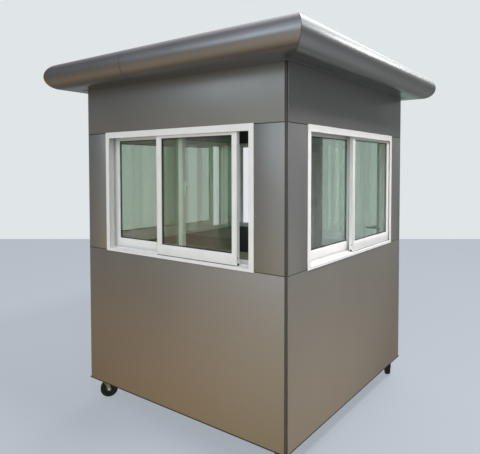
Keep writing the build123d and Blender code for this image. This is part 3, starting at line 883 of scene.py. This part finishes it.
# %% Door leaf
BEAD_INSET = 0.004  # beads lie this far back from the leaf's faces
DOOR_BEAD_WIDTH, DOOR_BEAD_FALL = 0.012, 0.003
DOOR_GASKET_WIDTH, DOOR_GASKET_THICKNESS = 0.014, 0.0015
leaf_box, = solid_boxes("door_leaf", place)
door_pane, = solid_boxes("door_glass", place)
door_sheet, = solid_boxes("door_panel", place)
left, right, low, high = lines_of(leaf_box)
front, back = leaf_box[0].y, leaf_box[1].y
pane, sheet = lines_of(door_pane), lines_of(door_sheet)
bm, seals = bmesh.new(), bmesh.new()
for stile in ((left, pane[0]), (pane[1], right)):
    add_box(bm, (stile[0], front, low), (stile[1], back, high), 0.0015, place)
for rail in ((low, sheet[2]), (sheet[3], pane[2]), (pane[3], high)):
    add_box(bm, (pane[0], front, rail[0]), (pane[1], back, rail[1]), 0.0008, place)
for lines, box in ((pane, door_pane), (sheet, door_sheet)):
    for near, far in (
        (front + BEAD_INSET, box[0].y - DOOR_GASKET_THICKNESS),
        (box[1].y + DOOR_GASKET_THICKNESS, back - BEAD_INSET),
    ):
        slope = [(0, near), (0.6, near), (1, near + DOOR_BEAD_FALL), (1, far), (0, far)]
        if near > box[1].y:
            slope = [(0, near), (1, near), (1, far - DOOR_BEAD_FALL), (0.6, far), (0, far)]
        add_ring(bm, lines, inset(lines, DOOR_BEAD_WIDTH), slope, place)
    for near, far in (
        (box[0].y - DOOR_GASKET_THICKNESS, box[0].y), (box[1].y, box[1].y + DOOR_GASKET_THICKNESS),
    ):
        gasket = bar_section(near, far, 0.0004, DOOR_GASKET_WIDTH)
        add_ring(seals, lines, inset(lines, DOOR_GASKET_WIDTH), gasket, place)
finish_piece(bm, "door_leaf_frame", door_white, "door", "door_white", "door_leaf")
finish_piece(seals, "door_gaskets", gasket_black, "door", "door_white")
bm = bmesh.new()
add_box(bm, (sheet[0], door_sheet[0].y, sheet[2]), (sheet[1], door_sheet[1].y, sheet[3]), 0.0, place)
finish_piece(bm, "door_lower_sheet", wall_paint, "door", "door_panel", "door_panel")

# %% [markdown]
# A lever handle on a long plate works the lock from either face. The lever is a round bar bent
# once, with a soft end. Below it sits the key cylinder, and a screw holds each end of the plate.

# %% Lever shape
PLATE_THICKNESS = 0.005
PLATE_NEAR, PLATE_FAR = 0.009, 0.041  # the plate's edges from the leaf's lock edge
LEVER_RADIUS = 0.0085
LEVER_SIDES = 20
LEVER_BEND, BEND_STEPS = 0.012, 8
LEVER_TAPER, TAPER_LENGTH = 0.6, 0.006
CYLINDER_DROP = 0.055
SLOT_HALF_WIDTH, SLOT_HALF_HEIGHT = 0.0007, 0.0045
SCREW_INSET = 0.011


def lever_path(spindle, base, lever_y, outward, tip_x):
    """Middle line of a lever, as (x, depth): out of the plate, round one bend, along the door."""
    bend_y = lever_y - outward * LEVER_BEND
    path = [(spindle, base), (spindle, bend_y)]
    for step in range(1, BEND_STEPS):
        turn = math.pi / 2 * step / BEND_STEPS
        path.append((
            spindle + LEVER_BEND * (1 - math.cos(turn)),
            lever_y - outward * LEVER_BEND * (1 - math.sin(turn)),
        ))
    return path + [(spindle + LEVER_BEND, lever_y), (tip_x - TAPER_LENGTH, lever_y), (tip_x, lever_y)]


def lever_loops(path, height):
    """Round section carried along the lever's middle line, thinner at its end."""
    loops = []
    for index, (x, y) in enumerate(path):
        before, after = path[max(index - 1, 0)], path[min(index + 1, len(path) - 1)]
        along = Vector((after[0] - before[0], after[1] - before[1], 0)).normalized()
        side_way = Vector((along.y, -along.x, 0))
        radius = LEVER_RADIUS * (LEVER_TAPER if index == len(path) - 1 else 1.0)
        loops.append([
            Vector((x, y, height)) + radius * (math.cos(a) * side_way + Vector((0, 0, math.sin(a))))
            for a in (2 * math.pi * i / LEVER_SIDES for i in range(LEVER_SIDES))
        ])
    return loops

# %% [markdown]
# Each side of the door gets a plate, a collar, its lever, the key cylinder with a slot, and two
# screws. The two handles are the frame's own solids, so the signs follow from where they stand.

# %% Door handles
handles, keyholes = bmesh.new(), bmesh.new()
for handle_low, handle_high in solid_boxes("door_handles", place):
    outward = -1 if handle_high.y < front + 0.001 else 1
    face, tip = (front, handle_low.y) if outward < 0 else (back, handle_high.y)
    middle_z = (handle_low.z + handle_high.z) / 2
    plate_left, plate_right = left + PLATE_NEAR, left + PLATE_FAR
    spindle = (plate_left + plate_right) / 2
    plate = sorted((face, face + outward * PLATE_THICKNESS))
    add_box(
        handles, (plate_left, plate[0], handle_low.z), (plate_right, plate[1], handle_high.z),
        0.0022, place,
    )
    collar = (spindle, face + outward * (PLATE_THICKNESS + 0.004), middle_z)
    add_round(handles, collar, (0, 1, 0), 0.0125, 0.008, 40, 0.002, place)
    lever_y = tip - outward * LEVER_RADIUS
    path = lever_path(spindle, face + outward * 0.004, lever_y, outward, handle_high.x)
    add_sweep(handles, lever_loops(path, middle_z), place=place)
    cylinder = (spindle, face + outward * (PLATE_THICKNESS + 0.002), middle_z - CYLINDER_DROP)
    add_round(handles, cylinder, (0, 1, 0), 0.0085, 0.005, 32, 0.001, place)
    slot_y = cylinder[1] + outward * 0.0026
    add_box(
        keyholes, (spindle - SLOT_HALF_WIDTH, slot_y - 0.0004, cylinder[2] - SLOT_HALF_HEIGHT),
        (spindle + SLOT_HALF_WIDTH, slot_y + 0.0004, cylinder[2] + SLOT_HALF_HEIGHT), 0.0, place,
    )
    for end in (handle_low.z + SCREW_INSET, handle_high.z - SCREW_INSET):
        screw = (spindle, face + outward * (PLATE_THICKNESS + 0.0008), end)
        add_round(handles, screw, (0, 1, 0), 0.0035, 0.002, 20, 0.0006, place)
finish_piece(handles, "lever_handles", satin_steel, "door", "handle", "door_handles")
finish_piece(keyholes, "key_slots", gasket_black, "door", "handle")

# %% [markdown]
# The hinges keep their own solids. Each plate is held by two countersunk screws, whose slotted
# heads stand a hair above it.

# %% Hinge screws
SCREW_EDGE = 0.007  # from the plate's far edge
SCREW_SPREAD = 0.026  # above and below the plate's middle
plate_face = back + 0.003
for node_name, body_name in (("door_frame_hinges", "cabin"), ("door_leaf_hinges", "door")):
    screws = bmesh.new()
    for low_corner, high_corner in solid_boxes(node_name, place):
        plate_x = high_corner.x - SCREW_EDGE if body_name == "cabin" else low_corner.x + SCREW_EDGE
        middle = (low_corner.z + high_corner.z) / 2
        for z in (middle - SCREW_SPREAD, middle + SCREW_SPREAD):
            add_round(screws, (plate_x, plate_face, z), (0, 1, 0), 0.0036, 0.0014, 20, 0.0005, place)
    finish_piece(screws, f"{node_name}_screws", zinc_bright, body_name, "hinge")

# %% [markdown]
# The counter inside the front window is a laminated board on the wall, with the laminate
# lapped over its front edge as a separate strip.

# %% Counter
EDGE_STRIP = 0.0012
counter_low, counter_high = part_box("counter_top")
board_back = counter_high.y - EDGE_STRIP
bm = bmesh.new()
add_box(bm, counter_low, (counter_high.x, board_back, counter_high.z), 0.0006, segments=1)
add_box(bm, (counter_low.x, board_back, counter_low.z), counter_high, 0.0005, segments=1)
finish_piece(bm, "counter_board", counter_laminate, "cabin", "counter", "counter_top")

# %% [markdown]
# The casters are swivel ones with a ball race between two dished plates. Their places and
# headings come from the frame's joints, so each caster can be drawn once, at the origin with
# its wheel trailing along X, and turned into place by one matrix.

# %% Places of the casters
joints_by_name = {joint["name"]: joint for joint in frame["record"]["behaviour"]["joints"]}
caster_places = {}
for corner in ("front_left", "front_right", "back_right", "back_left"):
    swivel = joints_by_name[f"{corner}_swivel"]["pos_m"]
    axle = joints_by_name[f"{corner}_roll"]["pos_m"]
    heading = math.atan2(axle[1] - swivel[1], axle[0] - swivel[0])
    swivel_at = Matrix.Translation((swivel[0], swivel[1], 0))
    caster_places[corner] = swivel_at @ Matrix.Rotation(heading, 4, "Z")
    wheel_radius = axle[2]
print("casters", {corner: tuple(at.translation.xy) for corner, at in caster_places.items()})

# %% [markdown]
# The top plate carries the upper race, which widens upwards. The kingpin has its head below
# the crown, and four bolts with washers and nuts hold the plate to the base frame.

# %% Caster top plates
UP = (0, 0, 1)
PLATE_TOP_UNDERSIDE = 0.166
CASTER_PLATE_THICKNESS = 0.004
CROWN_LOW, CROWN_HIGH = 0.144, 0.148
LOWER_RACE_TOP, UPPER_RACE_LOW = 0.154, 0.1543
RACE_RADIUS, RACE_TAPER = 0.028, 0.0255
PIN_RADIUS, PIN_HEAD_RADIUS, PIN_HEAD = 0.006, 0.010, 0.004
BOLT_SPREAD = 0.038
BOLT_STACK = (  # height, radius, length, sides, bevel of washer, nut and bolt end
    (0.1655, 0.0085, 0.0012, 24, 0.0), (0.1627, 0.0065, 0.0050, 6, 0.0005),
    (0.1595, 0.0035, 0.0030, 16, 0.0005),
)


def add_race(bm, low, high, radius, top_radius, bevel, place):
    """Dished race plate between two heights."""
    middle = (0, 0, (low + high) / 2)
    add_round(bm, middle, UP, radius, high - low, 48, bevel, place, top_radius)


plates, bolts = bmesh.new(), bmesh.new()
for low, high in solid_boxes("caster_plates", Matrix.Identity(4)):
    centre = (low + high) / 2
    add_box(plates, (low.x, low.y, high.z - CASTER_PLATE_THICKNESS), high, 0.0012)
    at = Matrix.Translation((centre.x, centre.y, 0))
    add_race(plates, UPPER_RACE_LOW, PLATE_TOP_UNDERSIDE, RACE_TAPER, RACE_RADIUS, 0.0018, at)
    pin_middle = (0, 0, (low.z + PIN_HEAD + PLATE_TOP_UNDERSIDE) / 2)
    add_round(bolts, pin_middle, UP, PIN_RADIUS, PLATE_TOP_UNDERSIDE - low.z - PIN_HEAD, 24, 0.0, at)
    add_round(bolts, (0, 0, low.z + PIN_HEAD / 2), UP, PIN_HEAD_RADIUS, PIN_HEAD, 6, 0.0008, at)
    for x in (-BOLT_SPREAD, BOLT_SPREAD):
        for y in (-BOLT_SPREAD, BOLT_SPREAD):
            for height, radius, length, sides, bevel in BOLT_STACK:
                add_round(bolts, (x, y, height), UP, radius, length, sides, bevel, at)
finish_piece(plates, "caster_top_plates", zinc_yellow, "cabin", "caster_steel", "caster_plates")
finish_piece(bolts, "caster_bolts", zinc_bright, "cabin", "caster_steel", "caster_plates")

# %% [markdown]
# The fork is pressed from one strip: a crown under the race and two legs that sweep back to
# the axle. Their edges curve in from the crown and end round the axle. A bolt and two nuts
# hold the wheel.

# %% Fork leg outline
TRAIL = 0.040
LEG_INNER, LEG_OUTER = 0.024, 0.028
LEG_TOP = 0.028
FOOT_RADIUS = 0.014
EDGE_STEPS, FOOT_STEPS = 8, 12
FRONT_BOW, BACK_BOW = 0.004, 0.010
AXLE_RADIUS = 0.006
AXLE_STACK = (  # out from the leg, radius, length, sides, bevel of washer, nut and bolt end
    (0.0006, 0.0115, 0.0012, 32, 0.0), (0.0042, 0.0100, 0.0060, 6, 0.0010),
    (0.0076, 0.0045, 0.0008, 20, 0.0),
)


def leg_outline():
    """Edge of a fork leg, seen from the side."""
    points = []
    drop = wheel_radius - CROWN_HIGH
    for step in range(EDGE_STEPS + 1):  # front edge, sweeping down from the crown to the foot
        share = step / EDGE_STEPS
        x = LEG_TOP + (TRAIL + FOOT_RADIUS - LEG_TOP) * share
        bow = FRONT_BOW * math.sin(math.pi * share) * (1 - share)
        points.append((x + bow, CROWN_HIGH + drop * share))
    for step in range(1, FOOT_STEPS):  # round the axle
        angle = -math.pi * step / FOOT_STEPS
        x = TRAIL + FOOT_RADIUS * math.cos(angle)
        points.append((x, wheel_radius + FOOT_RADIUS * math.sin(angle)))
    for step in range(EDGE_STEPS + 1):  # back edge, up to the crown
        share = step / EDGE_STEPS
        x = TRAIL - FOOT_RADIUS + (-LEG_TOP - TRAIL + FOOT_RADIUS) * share
        bow = BACK_BOW * math.sin(math.pi * share)
        points.append((x + bow, wheel_radius + (CROWN_HIGH - wheel_radius) * share))
    return points

# %% [markdown]
# Crown, lower race and both legs are one pressed piece. The bolt through them is bright zinc,
# with a washer, a nut and a bolt end on each side.

# %% Caster forks
for corner, at in caster_places.items():
    body_name, node_name = f"{corner}_caster", f"{corner}_caster_fork"
    fork, fixings = bmesh.new(), bmesh.new()
    add_box(fork, (-LEG_TOP, -LEG_OUTER, CROWN_LOW), (LEG_TOP, LEG_OUTER, CROWN_HIGH), 0.0012, at)
    add_race(fork, CROWN_HIGH, LOWER_RACE_TOP, RACE_RADIUS, RACE_TAPER, 0.0015, at)
    for near, far in ((-LEG_OUTER, -LEG_INNER), (LEG_INNER, LEG_OUTER)):
        add_sweep(fork, [[(x, y, z) for x, z in leg_outline()] for y in (near, far)], place=at)
    finish_piece(fork, f"{corner}_fork", zinc_yellow, body_name, "caster_steel", node_name)
    axle_at = (TRAIL, 0, wheel_radius)
    add_round(fixings, axle_at, (0, 1, 0), AXLE_RADIUS, 2 * LEG_OUTER, 24, 0.0, at)
    for outward in (-1, 1):
        for out, radius, length, sides, bevel in AXLE_STACK:
            middle = (TRAIL, outward * (LEG_OUTER + out), wheel_radius)
            add_round(fixings, middle, (0, 1, 0), radius, length, sides, bevel, at)
    finish_piece(fixings, f"{corner}_axle_bolt", zinc_bright, body_name, "caster_steel", node_name)

# %% [markdown]
# The wheel is a black rubber tyre moulded on a nylon core with a dished web and a long hub.
# Both are closed sections turned about the axle.

# %% Wheel sections
HUB_HALF, HUB_RADIUS = 0.023, 0.016
BORE_RADIUS = 0.0061
TYRE_HALF, TYRE_INNER = 0.019, 0.046
TREAD_EDGE, EDGE_TURNS = 0.007, 6
EASE = 0.001
WEB_HALF, WEB_EDGE, RIM_INNER, RIM_OUTER = 0.010, 0.041, 0.043, 0.047
TURN_STEPS = 56


def turned(bm, section, place):
    """Closed section of (radius, offset along the axle) turned about the axle."""
    loops = []
    for step in range(TURN_STEPS):
        angle = 2 * math.pi * step / TURN_STEPS
        loops.append([
            (TRAIL + radius * math.cos(angle), offset, wheel_radius + radius * math.sin(angle))
            for radius, offset in section
        ])
    return add_sweep(bm, loops, closed=True, place=place)


def tyre_section():
    """Rubber tyre with rounded tread edges, as (radius, offset)."""
    shoulder = wheel_radius - TREAD_EDGE
    points = [(TYRE_INNER, -TYRE_HALF + EASE), (shoulder, -TYRE_HALF)]
    for outward in (-1, 1):
        for step in range(1, EDGE_TURNS):
            angle = math.pi / 2 * step / EDGE_TURNS
            turn = angle if outward < 0 else math.pi / 2 - angle
            points.append((
                shoulder + TREAD_EDGE * math.sin(turn),
                outward * (TYRE_HALF - TREAD_EDGE + TREAD_EDGE * math.cos(turn)),
            ))
    return points + [(shoulder, TYRE_HALF), (TYRE_INNER, TYRE_HALF - EASE)]


def core_section():
    """Nylon core: bore, hub, dished web and rim, as (radius, offset)."""
    half = [
        (BORE_RADIUS, HUB_HALF), (HUB_RADIUS - EASE, HUB_HALF), (HUB_RADIUS, HUB_HALF - EASE),
        (HUB_RADIUS + 2 * EASE, WEB_HALF), (WEB_EDGE, WEB_HALF), (RIM_INNER, TYRE_HALF - EASE),
        (RIM_OUTER, TYRE_HALF - EASE),
    ]
    return [(radius, -offset) for radius, offset in half] + half[::-1]

# %% [markdown]
# Tyre and core are two pieces on the same body, because rubber and nylon take the light
# differently.

# %% Caster wheels
for corner, at in caster_places.items():
    body_name, node_name = f"{corner}_wheel", f"{corner}_caster_wheel"
    tyre, core = bmesh.new(), bmesh.new()
    turned(tyre, tyre_section(), at)
    turned(core, core_section(), at)
    finish_piece(tyre, f"{corner}_tyre", tyre_black, body_name, "tyre", node_name)
    finish_piece(core, f"{corner}_wheel_core", wheel_core, body_name, "tyre", node_name)

# %% [markdown]
# The studio: a plain pale floor, and plain pale walls and ceiling round the booth. Satin
# metallic paint shows what stands round it, so the surroundings are set out like diffusers in
# a studio: broad soft glows in chosen directions, and none from the stage itself.

# %% Stage plane
BACKDROP_DISTANCE = 12.1  # ahead of the camera
ROOM_REACH, ROOM_HEIGHT, FLOOR_REACH = 18, 16, 30
BACKDROP_GLOW = (0.730, 0.768, 0.791)
FLOOR_GLOW, FLOOR_PAINT = (0.335, 0.37, 0.41), (0.07, 0.077, 0.086)
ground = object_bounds()[0][2]


def stage_plane(name, corners, glow, paint):
    """Flat part of the studio, seen by the camera but adding no light to the booth."""
    mesh = bpy.data.meshes.new(name)
    bm = bmesh.new()
    bm.faces.new([bm.verts.new(corner) for corner in corners])
    bm.to_mesh(mesh)
    bm.free()
    material, _, shader = new_material(name, paint, 0.9)
    shader.inputs["Emission Color"].default_value = (*glow, 1.0)
    shader.inputs["Emission Strength"].default_value = 1.0
    mesh.materials.append(material)
    obj = bpy.data.objects.new(name, mesh)
    scene.collection.objects.link(obj)
    obj.visible_diffuse = False
    obj.visible_glossy = False
    obj.visible_shadow = False

# %% [markdown]
# The room is squared to the camera, so that the far wall meets the floor in a level line. Its
# glow gives each plane the same tone from every side.

# %% Stage
heading = math.radians(VIEW_HEADING)
ahead = Vector((-math.sin(heading), math.cos(heading), 0))
sideways = Vector((ahead.y, -ahead.x, 0))
foot = Vector((camera.location.x, camera.location.y, ground))
room = [
    foot + ahead * along + sideways * across
    for along, across in (
        (BACKDROP_DISTANCE, -ROOM_REACH), (BACKDROP_DISTANCE, ROOM_REACH),
        (-ROOM_REACH, ROOM_REACH), (-ROOM_REACH, -ROOM_REACH),
    )
]
up = Vector((0, 0, ROOM_HEIGHT))
for index, (start, end) in enumerate(zip(room, room[1:] + room[:1])):
    stage_plane(f"backdrop_{index}", [start, end, end + up, start + up], BACKDROP_GLOW, (0, 0, 0))
stage_plane("backdrop_top", [corner + up for corner in room], BACKDROP_GLOW, (0, 0, 0))
floor_corners = [
    (x * FLOOR_REACH, y * FLOOR_REACH, ground) for x, y in ((-1, -1), (1, -1), (1, 1), (-1, 1))
]
stage_plane("floor", floor_corners, FLOOR_GLOW, FLOOR_PAINT)
print("stage", len(room) + 2, "planes")

# %% [markdown]
# The soft glows are lobes of the world's colour: each is brightest in one direction and fades
# round it. High behind the right corner is an open sky, and in front lies a pale lit ground.

# %% Glows
GLOWS = (  # azimuth and elevation in degrees, sharpness, colour
    (60, 60, 6, (1.3, 1.5, 1.4)),
    (120, 60, 6, (1.5, 1.45, 1.6)),
    (100, 36, 16, (1.9, 2.0, 1.95)),
    (110, 0, 14, (0.55, 0.69, 0.64)),
    (45, -35, 6, (0.98, 0.98, 0.97)),
    (160, -5, 10, (0.5, 0.5, 0.5)),
    (225, -35, 6, (0.64, 0.43, 0.24)),
    (258, -12, 14, (0.66, 0.55, 0.50)),
    (270, -35, 6, (0.42, 0.59, 0.54)),
    (242, 30, 12, (0.65, 0.70, 0.76)),
    (270, 30, 9, (1.8, 1.9, 2.1)),
)
world = bpy.data.worlds.new("studio")
scene.world = world
world.use_nodes = True
tree = world.node_tree
background = tree.nodes["Background"]
direction = tree.nodes.new("ShaderNodeTexCoord").outputs["Generated"]
print("glows", len(GLOWS))

# %% [markdown]
# A lobe is the cosine of the angle to its direction, kept above nought and raised to a power:
# the higher the power, the narrower the glow. These helpers build it from maths nodes.

# %% World maths
def towards(azimuth, elevation):
    """Unit vector for two angles in degrees."""
    azimuth, elevation = math.radians(azimuth), math.radians(elevation)
    flat = math.cos(elevation)
    return Vector((math.cos(azimuth) * flat, math.sin(azimuth) * flat, math.sin(elevation)))


def world_math(kind, operation, first, second, output):
    """Maths node of the world on a socket and a socket or constant."""
    node = tree.nodes.new(kind)
    node.operation = operation
    tree.links.new(first, node.inputs[0])
    if isinstance(second, bpy.types.NodeSocket):
        tree.links.new(second, node.inputs[1])
    else:
        node.inputs[1].default_value = second
    return node.outputs[output]

# %% [markdown]
# Each lobe scales its own colour, and their sum lights the world.

# %% Surroundings
VECTOR, PLAIN = "ShaderNodeVectorMath", "ShaderNodeMath"
total = None
for azimuth, elevation, sharpness, color in GLOWS:
    facing = world_math(VECTOR, "DOT_PRODUCT", direction, towards(azimuth, elevation), "Value")
    lit = world_math(PLAIN, "MAXIMUM", facing, 0.0, "Value")
    lobe = world_math(PLAIN, "POWER", lit, sharpness, "Value")
    scaled = tree.nodes.new(VECTOR)
    scaled.operation = "SCALE"
    scaled.inputs[0].default_value = color
    tree.links.new(lobe, scaled.inputs["Scale"])
    glow = scaled.outputs["Vector"]
    total = glow if total is None else world_math(VECTOR, "ADD", total, glow, "Vector")
tree.links.new(total, background.inputs["Color"])
background.inputs["Strength"].default_value = 1.0
print("world nodes", len(tree.nodes))

# %% [markdown]
# Five soft boxes add what glows can't: a shadow with an edge. The ones on the right light the
# right wall, and the eaves cut them off in a clear line near the wall's top.

# %% Soft boxes
LAMP_DISTANCE = 8.0
LAMP_TARGET = Vector((0, 0, 1.5))


def softbox(name, azimuth, elevation, size, power, color):
    """Square area light in a direction, facing the booth."""
    data = bpy.data.lights.new(name, "AREA")
    data.shape = "SQUARE"
    data.size = size
    data.energy = power
    data.color = color
    light = bpy.data.objects.new(name, data)
    facing = towards(azimuth, elevation)
    light.location = LAMP_TARGET + LAMP_DISTANCE * facing
    light.rotation_euler = facing.to_track_quat("Z", "Y").to_euler()
    light.visible_camera = False
    scene.collection.objects.link(light)


# azimuth and elevation in degrees, size in metres, power in watts, colour
softbox("right_back", 64, 29.5, 1.3, 42, (1.0, 0.99, 0.97))
softbox("right_high", -6, 56, 1.2, 760, (1.0, 0.96, 0.97))
softbox("front_high", -50, 50, 2.5, 185, (1.0, 1.0, 0.97))
softbox("front_low", -46, 12, 3.0, 130, (1.0, 0.98, 0.96))
softbox("front_left", -115, 20, 2.5, 26, (0.7, 0.9, 1.0))
print("lamps", len(bpy.data.lights))
